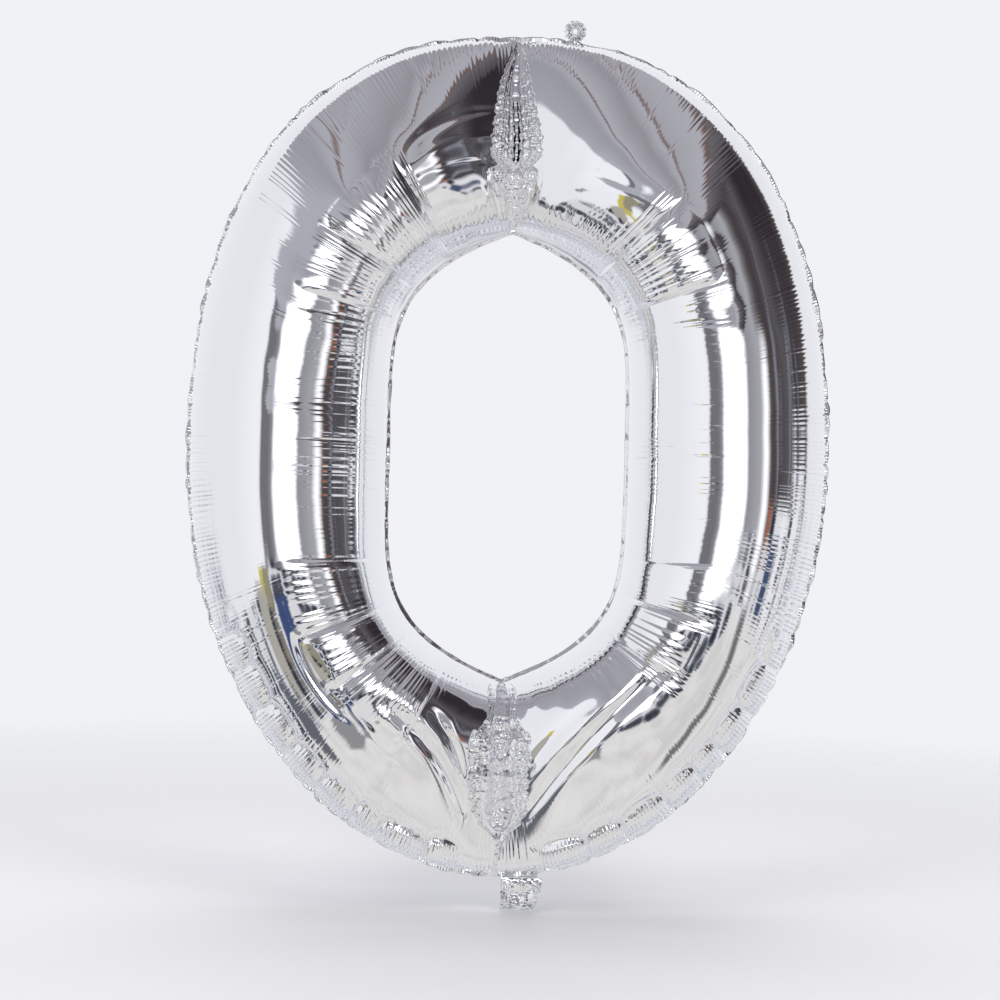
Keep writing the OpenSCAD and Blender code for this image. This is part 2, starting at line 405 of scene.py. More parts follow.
class Relief:
    """All wrinkles of one foil. Both foils share what moves the seams."""

    def __init__(self, seed):
        self.pleats = Cells(seed, RIM, 5.0 * MM)
        self.pleat_height = self.pleats.draw(0.5, 1.3)
        self.pleat_reach = self.pleats.draw(11, 21)
        self.tucks = Cells(seed + 6, RIM, 26 * MM, 0.6)
        self.tuck_height = self.tucks.draw(0.1, 1.5)
        self.ribs = Cells(seed + 1, LAP, self.rib_width, 0.5)
        self.rib_height = self.ribs.draw(0.3, 1.4)
        self.rib_reach = self.ribs.draw(-7, 6)
        self.pillows = Cells(seed + 2, RIM, 46 * MM)
        self.pillow_height = self.pillows.draw(0.6, 1.2)
        self.slow = waves(seed + 3, 14, 0.10, 0.45)
        self.medium = waves(seed + 4, 18, 0.03, 0.08)
        self.crumple = creases(seed + 5, 7, 3 * MM, 12 * MM)

    @staticmethod
    def rib_width(lap):
        """Rib spacing: fine on the straight sides, a little coarser in the bends."""
        return (5.5 + 2.6 * float(bend_share(np.array(lap)))) * MM

    def seam_pleats(self, s, v):
        """Fine pleats that run in from the outer seam, and a few wider tucks."""
        away = (np.pi - v) * TUBE_R
        k, p = self.pleats.find(rim_at(s))
        x = away / (self.pleat_reach[k] * MM)
        fine = self.pleat_height[k] * 1.5 * (scallop(p) - 0.6) * x * np.exp(1 - x)
        k, p = self.tucks.find(rim_at(s))
        x = away / (15 * MM)
        wide = self.tuck_height[k] * (scallop(p) - 0.6) * x * np.exp(1 - x)
        return (fine + wide) * MM

    def inner_ribs(self, lap, v):
        bend = bend_share(lap)
        k, p = self.ribs.find(lap)
        reach = rib_reach(lap) + 0.6 * self.rib_reach[k]
        window = smooth_step(v, np.radians(reach + 6), np.radians(reach - 20))
        window = window * smooth_step(v, math.radians(12), math.radians(34))
        return self.rib_height[k] * (0.20 + 0.24 * bend) * MM * (scallop(p) - 0.6) * window

    def lower_pillows(self, s, v, flat):
        """A row of puffed segments beside the outer seam, low on the nought."""
        low = smooth_step(flat[..., 1], -0.14, -0.24) * smooth_step(np.abs(flat[..., 0]), 0.03, 0.06)
        away = (1 + np.cos(v)) * TUBE_R
        k, p = self.pillows.find(rim_at(s))
        border = (22 + 10 * scallop(p) ** 0.5) * MM
        across = np.clip(away / border, 0, 1)
        groove = -4.5 * np.exp(-np.abs(away - border) / (3.5 * MM))
        puff = self.pillow_height[k] * 5.0 * scallop(p) ** 0.5 * scallop(across) ** 0.6
        seam = -1.8 * np.exp(-np.minimum(p, 1 - p) * 46 / 3.0)
        seam = seam * smooth_step(away, border * 1.15, border * 0.8)
        serration = 0.5 * np.sin(2 * np.pi * rim_at(s) / (4.4 * MM)) * scallop(across)
        return low * (groove + puff + seam + serration) * MM

    def height(self, s, v, flat):
        """Wrinkle height along the wall's normal."""
        lap = lap_at(flat)
        calm = np.sin(v) ** 0.5
        total = self.seam_pleats(s, v) + self.inner_ribs(lap, v)
        total = total + drum_relief(lap, v) + kink_relief(lap, v) + fold_relief(flat)
        total = total + self.lower_pillows(s, v, flat)
        total = total + 0.8 * MM * calm * self.slow(s, v)
        rough = 0.10 + 0.25 * bend_share(lap) * smooth_step(v, 1.9, 1.2)
        return total + 0.6 * MM * calm * rough * self.medium(s, v)


# What moves the seams, so that both foils and the weld follow it
rim_cells = Cells(401, RIM, 24 * MM)
RIM_PUSH = rim_cells.draw(0.2, 2.4) * MM
rim_folds = Cells(402, RIM, 14 * MM, 0.6)
RIM_WAVE = rim_folds.draw(-2.4, 2.4) * MM
hole_folds = Cells(403, LAP, 16 * MM, 0.6)
HOLE_WAVE = hole_folds.draw(-0.8, 0.8) * MM


def rim_push(s, away):
    """The outer seam bows out between its tucks."""
    k, p = rim_cells.find(rim_at(s))
    return RIM_PUSH[k] * (scallop(p) - 0.5) * np.exp(-(away / (22 * MM)) ** 2)


def rim_wave(s, away):
    """The outer seam zigzags to the front and back."""
    return rim_folds.knotted(RIM_WAVE, rim_at(s)) * np.exp(-away / (14 * MM))


def hole_wave(s, away):
    return hole_folds.knotted(HOLE_WAVE, s / RING * LAP) * np.exp(-away / (9 * MM))


# The deep folds at the top and bottom. Each row: share of the way from the rim to the hole, half
# width, depth at the edge, height of the two rolls (mm), share of the width between the rolls
TOP_FOLD = np.array([
    [0.00, 1.5, 0, 0, 0], [0.05, 4, 3, 1, 0], [0.12, 8, 6, 4, 0], [0.255, 14, 9, 8, 0],
    [0.39, 18.5, 11, 11, 0], [0.555, 23.5, 12, 13, 0], [0.65, 22.5, 12, 13, 0.02],
    [0.68, 15, 13, 5, 0.2], [0.71, 22, 8, 7, 0.3], [0.88, 17, 6, 5, 0.3], [1.00, 8, 1, 0, 0.3],
])
BOTTOM_FOLD = np.array([
    [0.00, 2, 0, 0, 0.3], [0.04, 3, 2, 0.5, 0.3], [0.18, 3.5, 3, 1, 0.3], [0.215, 7, 6, 2, 0.3],
    [0.27, 18, 10, 7, 0.4], [0.34, 25, 12, 11, 0.4], [0.42, 27, 12, 12, 0.24], [0.53, 28, 12, 13, 0.08],
    [0.565, 26, 14, 8, 0.08], [0.60, 28, 12, 13, 0.08], [0.72, 27, 12, 12, 0.24], [0.77, 19, 13, 6, 0.4],
    [0.81, 14, 9, 4, 0.4], [0.95, 13, 6, 4, 0.3], [1.00, 8, 1, 0, 0.3],
])


def gather(relief, flat, v):
    """Inward push of the deep folds at the top and bottom, and the crumpled film in them.

    Two rolls lie beside a narrow slit, or beside slack film where they stand apart. Their backs are
    calm, and their flanks away from the slit are finely pleated.
    """
    x, z = flat[..., 0], flat[..., 1]
    from_rim = (1 + np.cos(v)) / 2
    push = np.zeros_like(x)
    for sign, table in ((1, TOP_FOLD), (-1, BOTTOM_FOLD)):
        half, groove, roll, gap = (np.interp(from_rim, table[:, 0], table[:, k]) for k in (1, 2, 3, 4))
        ragged = 1 + 0.04 * np.sin(z * 420) + 0.03 * np.sin(z * 970 + 1)
        q = np.abs(x + 1.5 * MM * np.sin(z * 55)) / (half * MM * ragged)
        inside = smooth_step(q, 1.09, 0.90)
        p = np.clip((q - gap) / (1 - gap), 0, 1)
        rolls = roll * (0.8 * scallop(p) ** 0.7 + 0.22 * scallop(np.mod(2 * p, 1)) ** 0.7)
        flank = smooth_step(p, 0.42, 0.68)
        calm = 1 - 0.65 * smooth_step(p, 0.08, 0.2) * smooth_step(p, 0.95, 0.8)
        crumple = (0.3 + 0.05 * roll) * relief.crumple(x, z) * calm
        slit = 7 * np.exp(-q / 0.06) * smooth_step(roll, 4, 9) * (gap < 0.05)
        pitch = z / (2.9 * MM) + 0.4 * np.sin(z * 230) + 0.25 * relief.crumple(x * 0.4, z * 0.2)
        fine = (0.02 + 0.008 * roll + 0.045 * roll * flank) * scallop(np.mod(pitch, 1))
        slack = 1.1 * np.cos(2 * np.pi * np.clip(q / np.maximum(gap, 0.1), 0, 1)) * (gap > 0.2)
        push = push + (np.sign(z) == sign) * inside * (groove - rolls + crumple - fine - slack + slit)
    return push * MM


def wall(relief, back, s, v):
    """Points of one foil at ring lengths s and tube angles v."""
    s, v = np.broadcast_arrays(s, v)
    phi = phi_at(s)
    smooth = base_wall(phi, v)
    flat = smooth[..., [0, 2]]
    points = smooth + wall_normal(phi, v) * relief.height(s, v, flat)[..., None]
    points[..., 1] += gather(relief, flat, v)
    points[..., 1] = np.minimum(points[..., 1], -0.2 * MM)
    away = (np.pi - v) * TUBE_R
    points += outward(phi, np.full_like(v, np.pi)) * rim_push(s, away)[..., None]
    if back:
        points[..., 1] *= -1
    points[..., 1] += rim_wave(s, away) + hole_wave(s, v * TUBE_R)
    return points + np.array([MID_X, 0, MID_Z])


# ---- mesh helpers
def tube_angles(rows):
    """Rows from the hole's seam to the outer seam, closer at both seams and along the crest."""
    v = np.linspace(0, np.pi, 4001)
    density = 1 + 1.5 * np.exp(-v / 0.16) + 1.6 * np.exp(-(np.pi - v) / 0.3)
    density = density + 1.2 * np.exp(-((v - 1.52) / 0.36) ** 2)
    share = np.concatenate([[0], np.cumsum((density[1:] + density[:-1]) / 2)])
    return np.interp(np.linspace(0, share[-1], rows + 1), share, v)


def new_mesh(name, points, faces, material):
    mesh = bpy.data.meshes.new(name)
    mesh.from_pydata(points.tolist(), [], faces)
    mesh.validate()
    mesh.polygons.foreach_set("use_smooth", [True] * len(mesh.polygons))
    mesh.materials.append(material)
    obj = bpy.data.objects.new(name, mesh)
    bpy.context.scene.collection.objects.link(obj)
    return obj


def foil_mesh(name, relief, back):
    """One foil as a closed ring of columns, with finer rows where the deep folds are."""
    s = (np.arange(COLUMNS) + 0.5) / COLUMNS * RING
    middle = (hole_point(phi_at(s)) + outer_point(phi_at(s)))[:, 0] / 2
    fine = np.abs(middle) < GATHER_SPAN
    coarse_v = tube_angles(ROWS)
    steps = np.arange(FINE * ROWS + 1) / FINE
    fine_v = np.interp(steps, np.arange(ROWS + 1), coarse_v)
    coarse = wall(relief, back, s[~fine][:, None], coarse_v[None, :])
    detail = wall(relief, back, s[fine][:, None], fine_v[None, :])
    points = np.concatenate([coarse.reshape(-1, 3), detail.reshape(-1, 3)])
    first = np.empty(COLUMNS, int)
    first[~fine] = np.arange((~fine).sum()) * (ROWS + 1)
    first[fine] = coarse.shape[0] * (ROWS + 1) + np.arange(fine.sum()) * (FINE * ROWS + 1)
    first = first.tolist()
    faces = []
    for i in range(COLUMNS):
        j = (i + 1) % COLUMNS
        if fine[i] == fine[j]:
            k = np.arange(FINE * ROWS if fine[i] else ROWS)
            a, b = first[i] + k, first[j] + k
            faces += np.stack([a, b, b + 1, a + 1], -1).tolist()
            continue
        for k in range(ROWS):
            if fine[j]:
                many = [first[j] + FINE * k + n for n in range(FINE + 1)]
                faces.append([first[i] + k] + many + [first[i] + k + 1])
            else:
                many = [first[i] + FINE * k + n for n in range(FINE, -1, -1)]
                faces.append([first[j] + k, first[j] + k + 1] + many)
    if back:
        faces = [f[::-1] for f in faces]
    return new_mesh(name, points, faces, FOIL)


def seam_mesh(name, relief, outer):
    """The welded band beyond a foil's edge, as a thin closed ribbon."""
    count = COLUMNS if outer else COLUMNS // 2
    s = (np.arange(count) + 0.5) / count * RING
    phi = phi_at(s)
    v = np.full(count, np.pi if outer else 0.0)
    root = wall(relief, False, s, v)
    out = outward(phi, v)
    place = rim_at(s)
    width, lean = (OUTER_FLANGE - MM, 0.0) if outer else (INNER_FLANGE - MM, 1.6 * MM)
    folds = Cells(501 if outer else 502, RIM, 8 * MM, 0.7)
    lift = folds.draw(-2.4, 2.4) * MM if outer else folds.draw(-1.2, 1.2) * MM
    snips = Cells(503 if outer else 504, RIM, 22 * MM, 0.5)
    trim = snips.draw(-1.6, 0.6) * MM if outer else snips.draw(-0.7, 0.2) * MM
    rings = []
    for side in (-1, 1):
        shares = np.linspace(0, 1, 6)
        for share in shares if side < 0 else shares[::-1]:
            reach = -1.0 * MM + share * (width + MM + snips.knotted(trim, place))
            ring = root + out * reach[:, None]
            ring[:, 1] += side * 0.14 * MM + share * (folds.knotted(lift, place) + lean)
            ring[:, 1] += 0.25 * MM * np.sin(2 * np.pi * place / (3.1 * MM)) * scallop(share)
            rings.append(ring)
    points = np.stack(rings, 1)
    rows = len(rings)
    index = np.arange(count * rows).reshape(count, rows)
    ahead = np.roll(index, -1, 0)
    beside = np.roll(index, -1, 1)
    across = np.roll(ahead, -1, 1)
    faces = np.stack([index, beside, across, ahead], -1).reshape(-1, 4).tolist()
    return new_mesh(name, points.reshape(-1, 3), faces, SEAM)


# ---- materials
def principled(name, **values):
    """A material with uniform values on the shader's own sockets."""
    material = bpy.data.materials.new(name)
    material.use_nodes = True
    shader = material.node_tree.nodes["Principled BSDF"]
    for socket, value in values.items():
        shader.inputs[socket.replace("_", " ")].default_value = value
    return material, material.node_tree, shader


def noise(tree, scale, detail=2.0):
    """A noise texture fixed to the object."""
    place = tree.nodes.new("ShaderNodeTexCoord")
    texture = tree.nodes.new("ShaderNodeTexNoise")
    texture.inputs["Scale"].default_value = scale
    texture.inputs["Detail"].default_value = detail
    tree.links.new(place.outputs["Object"], texture.inputs["Vector"])
    return texture.outputs["Fac"]


def map_range(tree, value, *limits):
    """Maps a value: limits are from low, from high and, if not 0 and 1, to low and to high."""
    node = tree.nodes.new("ShaderNodeMapRange")
    for socket, limit in zip(("From Min", "From Max", "To Min", "To Max"), limits):
        node.inputs[socket].default_value = limit
    tree.links.new(value, node.inputs["Value"])
    return node.outputs["Result"]


def set_input(tree, socket, value):
    """Joins a socket to another one, or gives it a colour or a number."""
    if isinstance(value, bpy.types.NodeSocket):
        tree.links.new(value, socket)
    elif isinstance(value, tuple):
        socket.default_value = (*value, 1)
    else:
        socket.default_value = value


def mix_colours(tree, factor, first, second):
    node = tree.nodes.new("ShaderNodeMix")
    node.data_type = "RGBA"
    for name, value in (("Factor", factor), ("A", first), ("B", second)):
        set_input(tree, node.inputs[name], value)
    return node.outputs["Result"]


def vary_roughness(tree, shader, value, low, high):
    """Roughness from low to high, over a noise's middle range."""
    tree.links.new(map_range(tree, value, 0.3, 0.7, low, high), shader.inputs["Roughness"])


def add_bump(tree, shader, value, strength, distance):
    bump = tree.nodes.new("ShaderNodeBump")
    bump.inputs["Strength"].default_value = strength
    bump.inputs["Distance"].default_value = distance
    tree.links.new(value, bump.inputs["Height"])
    tree.links.new(bump.outputs["Normal"], shader.inputs["Normal"])


def two_tints(tree, shader, value, first, second):
    """Base colour that varies softly between two tints."""
    tree.links.new(mix_colours(tree, value, first, second), shader.inputs["Base Color"])


def foil_material():
    material, tree, shader = principled("silver_foil", Metallic=1.0)
    two_tints(tree, shader, noise(tree, 9), (0.95, 0.952, 0.962), (0.915, 0.92, 0.935))
    vary_roughness(tree, shader, noise(tree, 60, 4), 0.025, 0.07)
    add_bump(tree, shader, noise(tree, 420, 3), 0.05, 0.15 * MM)
    return material


def seam_material():
    material, tree, shader = principled("welded_foil", Metallic=1.0)
    two_tints(tree, shader, noise(tree, 30), (0.93, 0.935, 0.95), (0.86, 0.87, 0.89))
    vary_roughness(tree, shader, noise(tree, 200, 4), 0.08, 0.2)
    add_bump(tree, shader, noise(tree, 700, 3), 0.3, 0.2 * MM)
    return material


def film_material():
    material, tree, shader = principled("clear_film", IOR=1.5, Alpha=0.45)
    two_tints(tree, shader, noise(tree, 40), (0.86, 0.9, 0.93), (0.78, 0.84, 0.88))
    vary_roughness(tree, shader, noise(tree, 150, 3), 0.1, 0.22)
    add_bump(tree, shader, noise(tree, 260, 3), 0.15, 0.3 * MM)
    return material


FOIL = foil_material()
SEAM = seam_material()
FILM = film_material()

# ---- the envelope
front_relief = Relief(11)
back_relief = Relief(57)
front_foil = foil_mesh("foil_front", front_relief, back=False)
back_foil = foil_mesh("foil_back", back_relief, back=True)
outer_weld = seam_mesh("seam_outer", front_relief, outer=True)
inner_weld = seam_mesh("seam_inner", front_relief, outer=False)


# ---- tail, valve and tab
def pouch(name, front, back, material, loop=False):
    """A closed piece between two grids of points; a loop joins its last column to its first."""
    rows, columns = front.shape[:2]
    count = rows * columns
    faces = []
    across = range(columns if loop else columns - 1)
    for i in range(rows - 1):
        for j in across:
            k = (j + 1) % columns
            a, b = i * columns + j, i * columns + k
            c, d = b + columns, a + columns
            faces.append((a, b, c, d))
            faces.append((a + count, d + count, c + count, b + count))

    def close(a, b):
        """A face between the two grids."""
        faces.append((a, b, b + count, a + count))

    end = (rows - 1) * columns
    for j in across:
        k = (j + 1) % columns
        close(k, j)
        close(end + j, end + k)
    if not loop:
        for a in range(0, end, columns):
            b = a + columns
            close(a, b)
            close(b + columns - 1, b - 1)
    points = np.concatenate([front.reshape(-1, 3), back.reshape(-1, 3)])
    return new_mesh(name, points, faces, material)


def joined(pieces):
    """Several pieces as one mesh, under the first one's name."""
    bpy.ops.object.select_all(action="DESELECT")
    for piece in pieces:
        piece.select_set(True)
    bpy.context.view_layer.objects.active = pieces[0]
    bpy.ops.object.join()
    return pieces[0]


def place_piece(piece, node, slot, body, start=None, end=None):
    """Fixes a piece to its body, or, when a start is given, only bakes its placement into its mesh; either way
    hides its CAD node.
    """
    if start is None:
        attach(piece, body)
    else:
        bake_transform(piece)
    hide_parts(node)


tail_low, tail_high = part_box("tail_front_foil")
TAIL_HALF_W = (tail_high[0] - tail_low[0]) / 2
TAIL_END = tail_low[2]
TAIL_TOP = 4 * MM
tail_creases = creases(71, 9, 4 * MM, 26 * MM)


def tail_sheet(x, z):
    """How far the crumpled tail stands in front of its flat plane, and how far it is drawn in."""
    down = np.clip(z / TAIL_END, 0, 1)
    side = x / TAIL_HALF_W
    crumple = (0.5 + 1.1 * down + 0.8 * smooth_step(np.abs(side), 0.4, 1)) * tail_creases(x, z)
    flutes = 1.1 * np.sin(2 * np.pi * x / (7.5 * MM) + 1) * smooth_step(down, 0.5, 0.0)
    curl = smooth_step(side, 0.35, 1.0) * (0.25 + 0.75 * down)
    forward = crumple + flutes * 0.5 + 7 * curl + 2.0 * np.sin(2.4 * side) * down
    fade = smooth_step(z, 3 * MM, -4 * MM)
    return -forward * fade * MM, -9 * MM * curl * smooth_step(side, 0.2, 1.0) * down


def tail_points(across, z, layer):
    """Points of one layer of the tail; across runs from -1 to 1."""
    across, z = np.meshgrid(across, z)
    x = across * TAIL_HALF_W
    forward, drawn = tail_sheet(x, z)
    end = smooth_step(z, TAIL_END * 0.6, TAIL_END) * (1.2 + 0.8 * np.sin(x * 410)) * MM
    return np.stack([x + drawn, forward + layer, z + end], -1)


tail_rows = np.linspace(TAIL_TOP, TAIL_END, 70)
tail_columns = np.linspace(-0.97, 0.97, 90)
tail_fold = (0, 0, 3 * MM), (0, 0, -3 * MM)


def tail_layer(name, columns, near, far, material):
    """One piece of the tail, between two distances in mm from its flat plane."""
    front, back = (tail_points(columns, tail_rows, layer * MM) for layer in (near, far))
    return pouch(name, front, back, material)


tail_front = tail_layer("tail_foil_front", tail_columns, -0.95, -0.75, FOIL)
tail_back = tail_layer("tail_foil_back", tail_columns, 0.75, 0.95, FOIL)
# The two welded edges of the tail
TAIL_EDGES = np.linspace(-1.0, -0.84, 8), np.linspace(0.84, 1.0, 8)
tail_weld = joined([tail_layer("tail_weld", columns, -1.15, 1.15, SEAM) for columns in TAIL_EDGES])
place_piece(tail_front, "tail_front_foil", "foil", "tail", *tail_fold)
place_piece(tail_back, "tail_back_foil", "foil", "tail", *tail_fold)
place_piece(tail_weld, "tail_side_welds", "seam", "tail", *tail_fold)


def film_mesh(name, node, near, far, in_tail):
    """A strip of the valve's film, as wide and long as its CAD node, between two distances."""
    low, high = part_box(node)
    x, z = np.meshgrid(np.linspace(low[0], high[0], 24), np.linspace(high[2], low[2], 60))
    forward, drawn = 0.5 * MM * np.sin(z * 160) * np.cos(x * 90), 0 * x
    if in_tail:
        forward, drawn = tail_sheet(x, z)
        z = np.maximum(z, TAIL_END + 1.2 * MM)
    front = np.stack([x + drawn, forward + near, z], -1)
    back = np.stack([x + drawn, forward + far, z], -1)
    return pouch(name, front, back, FILM)


valve_fold = (0, 0, 16 * MM), (0, 0, 19 * MM)
FILMS = (
    ("valve_inlet_front", "valve_inlet_front_film", -0.55, -0.25, "tail", tail_fold),
    ("valve_inlet_back", "valve_inlet_back_film", 0.25, 0.55, "tail", tail_fold),
    ("valve_neck_front", "valve_neck_front_film", -0.55, -0.25, "envelope", ()),
    ("valve_neck_back", "valve_neck_back_film", 0.25, 0.55, "envelope", ()),
    ("valve_tongue_front", "valve_front_film", -0.55, -0.25, "valve", valve_fold),
    ("valve_tongue_back", "valve_back_film", 0.25, 0.55, "valve", valve_fold),
)
films = {}
for name, node, near, far, body, fold in FILMS:
    films[name] = film_mesh(name, node, near * MM, far * MM, body == "tail")
    place_piece(films[name], node, "clear_film", body, *fold)

hole_mount = next(m for m in frame["record"]["mounts"] if m["name"] == "hanging_hole")
tab_joint = next(j for j in frame["joints"] if j["name"] == "tab_fold")
TAB_CENTRE = np.array(hole_mount["pos_m"])
TAB_HOLE_R = hole_mount["dims"]["r_mm"] * MM
TAB_FOLD = np.array(tab_joint["pos_m"])
TAB_ALONG = np.array(tab_joint["axis"])
TAB_UP = (TAB_CENTRE - TAB_FOLD) / np.linalg.norm(TAB_CENTRE - TAB_FOLD)
TAB_R = 11.5 * MM
TAB_ROOT = np.linalg.norm(TAB_CENTRE - TAB_FOLD) + 3 * MM
tab_creases = creases(83, 8, 2.5 * MM, 11 * MM)


def tab_points(share, turn, layer, puff):
    """Points of the tab: share runs from its hole to its edge, layer and puff are distances."""
    turn, share = np.meshgrid(turn, share)
    to_root = TAB_ROOT / np.maximum(-np.sin(turn), 1e-6)
    edge = np.where(np.sin(turn) < 0, np.minimum(TAB_R, to_root), TAB_R)
    edge = edge * (1 - 0.03 * (1 + np.sin(11 * turn + 1)) - 0.02 * (1 + np.sin(23 * turn)))
    r = TAB_HOLE_R + share * (edge - TAB_HOLE_R)
    along, up = r * np.cos(turn), r * np.sin(turn)
    swell = scallop(np.clip((share - 0.08) / 0.82, 0, 1)) ** 0.7
    pleat = 1 + 0.16 * np.sin(17 * turn + 2) * share
    lean = 0.5 * MM * tab_creases(along, up) * smooth_step(up, -TAB_ROOT, -TAB_ROOT / 3)
    depth = layer + np.sign(layer) * puff * swell * (pleat + 0.13 * tab_creases(up, along)) + lean
    points = TAB_CENTRE + along[..., None] * TAB_ALONG + up[..., None] * TAB_UP
    return points + depth[..., None] * np.array([0, 1, 0])


tab_turn = np.arange(120) / 120 * 2 * np.pi
tab_share = np.linspace(0.06, 0.92, 26)
tab_bend = tuple(TAB_FOLD - 1.5 * MM * TAB_UP), tuple(TAB_FOLD + 2 * MM * TAB_UP)


def tab_layer(name, share, near, far, puff, material):
    """One piece of the tab, between two distances in mm from its flat plane."""
    front, back = (tab_points(share, tab_turn, layer * MM, puff * MM) for layer in (near, far))
    return pouch(name, front, back, material, loop=True)


tab_front = tab_layer("tab_foil_front", tab_share, -0.35, -0.20, 3.6, FOIL)
tab_back = tab_layer("tab_foil_back", tab_share, 0.20, 0.35, 3.6, FOIL)
# The welded rings round the tab's hole and round its edge
TAB_RINGS = np.linspace(0.0, 0.12, 5), np.linspace(0.86, 1.0, 5)
tab_weld = joined([tab_layer("tab_weld_ring", share, -0.42, 0.42, 0, SEAM) for share in TAB_RINGS])
place_piece(tab_front, "tab_front_foil", "foil", "tab", *tab_bend)
place_piece(tab_back, "tab_back_foil", "foil", "tab", *tab_bend)
place_piece(tab_weld, "tab_weld", "seam", "tab", *tab_bend)
place_piece(front_foil, "front_foil", "foil", "envelope")
place_piece(back_foil, "back_foil", "foil", "envelope")
place_piece(outer_weld, "outer_seam", "seam", "envelope")
place_piece(inner_weld, "inner_seam", "seam", "envelope")

for name, node in frame["nodes"].items():
    fill = FILM if "valve" in name else SEAM if "weld" in name else FOIL
    for slot in node.material_slots:
        slot.material = fill


# ---- the room seen in the foil
# Places in the room: azimuth is 0 straight ahead of the nought, at the camera, and grows to the
# right of the picture; rise is above the level plane. Both are in degrees.
WHITE, PALE, GREY = (0.90, 0.91, 0.95), (0.82, 0.83, 0.87), (0.30, 0.30, 0.33)
DUSK, BROWN, DARK = (0.17, 0.17, 0.185), (0.085, 0.068, 0.066), (0.055, 0.048, 0.058)
WOOD, PLASTER = (0.16, 0.09, 0.075), (0.43, 0.43, 0.48)
BACKDROP = (0.875, 0.885, 0.91)
WINDOW, SECOND_WINDOW = (2.6, 2.65, 2.75), (1.15, 1.15, 1.2)
# The walls' colours by azimuth
WALLS = [
    (-180, WHITE), (-100, PALE), (-60, PALE), (-33, WHITE), (-26, WHITE), (-24, DUSK),
    (-16, DUSK), (-11, GREY), (0, GREY), (20, GREY), (33, (0.40, 0.40, 0.43)), (40, DUSK),
    (46, BROWN), (52, DARK), (68, (0.10, 0.095, 0.10)), (84, DARK), (98, BROWN), (102, PALE),
    (180, WHITE),
]
# The ceiling's colours by its distance aside over its height; wood is a beam
CEILING = [
    (-2, PLASTER), (-0.95, (0.33, 0.33, 0.37)), (-0.72, PLASTER), (-0.68, WOOD), (-0.64, PLASTER),
    (-0.1, (0.30, 0.29, 0.32)), (0.11, PLASTER), (0.15, WOOD), (0.19, (0.38, 0.375, 0.41)),
    (0.60, PLASTER), (0.66, WOOD), (0.72, (0.14, 0.135, 0.145)), (1.0, (0.07, 0.06, 0.07)),
    (1.4, (0.03, 0.025, 0.03)), (2, (0.03, 0.025, 0.03)),
]
# Small coloured things: azimuth, rise, half width, half height, colour
SPOTS = [
    (47, -7, 2.4, 2.2, (0.34, 0.13, 0.08)), (58, -13, 4, 3, (0.06, 0.085, 0.16)),
    (-33, -14, 2.4, 3, (0.60, 0.50, 0.08)), (-27, -15, 4, 5, (0.30, 0.28, 0.20)),
    (-16, -19, 3, 4, (0.05, 0.08, 0.19)), (-46, -35, 9, 7, (0.13, 0.135, 0.16)),
    (-15, -27, 6, 5, (0.28, 0.28, 0.29)), (-37, -21, 6, 5, (0.42, 0.40, 0.36)),
]


class Room:
    """The world's nodes, and the direction that is looked up."""

    def __init__(self):
        world = bpy.data.worlds.new("studio")
        bpy.context.scene.world = world
        world.use_nodes = True
        self.tree = world.node_tree
        self.tree.nodes.clear()
        place = self.tree.nodes.new("ShaderNodeTexCoord")
        parts = self.tree.nodes.new("ShaderNodeSeparateXYZ")
        self.tree.links.new(place.outputs["Generated"], parts.inputs[0])
        self.right, self.up = parts.outputs["X"], parts.outputs["Z"]
        self.front = self.times(parts.outputs["Y"], -1.0)
        self.left, self.down = self.times(self.right, -1.0), self.times(self.up, -1.0)
        self.azimuth = self.times(self.maths("ARCTAN2", self.right, self.front), 180 / math.pi)
        self.rise = self.times(self.maths("ARCSINE", self.up), 180 / math.pi)

    def maths(self, operation, *values):
        node = self.tree.nodes.new("ShaderNodeMath")
        node.operation = operation
        for socket, value in zip(node.inputs, values):
            set_input(self.tree, socket, value)
        return node.outputs[0]

    def times(self, first, second):
        return self.maths("MULTIPLY", first, second)

    def less(self, first, second):
        return self.maths("SUBTRACT", first, second)

    def largest(self, first, *others):
        for other in others:
            first = self.maths("MAXIMUM", first, other)
        return first

    def step(self, value, low, high):
        """0 below low and 1 above high."""
        return map_range(self.tree, value, low, high)

    def between(self, value, low, high, soft):
        entered = self.step(value, low - soft, low + soft)
        return self.times(entered, self.step(value, high + soft, high - soft))

    def patch(self, azimuths, rises, soft=(3, 2)):
        """1 inside a rectangle of the room, given by two azimuths and two rises."""
        aside = self.between(self.azimuth, *azimuths, soft[0])
        return self.times(aside, self.between(self.rise, *rises, soft[1]))

    def mix(self, factor, first, second):
        return mix_colours(self.tree, factor, first, second)

    def ramp(self, value, stops):
        """Colours from the first stop's value to the last one's."""
        low, high = stops[0][0], stops[-1][0]
        node = self.tree.nodes.new("ShaderNodeValToRGB")
        points = node.color_ramp.elements
        while len(points) < len(stops):
            points.new(0.5)
        for point, (at, colour) in zip(points, stops):
            point.position = (at - low) / (high - low)
            point.color = (*colour, 1)
        self.tree.links.new(self.step(value, low, high), node.inputs["Fac"])
        return node.outputs["Color"]

    def texture(self, kind, scale):
        node = self.tree.nodes.new("ShaderNodeTex" + kind)
        node.inputs["Scale"].default_value = scale
        return node


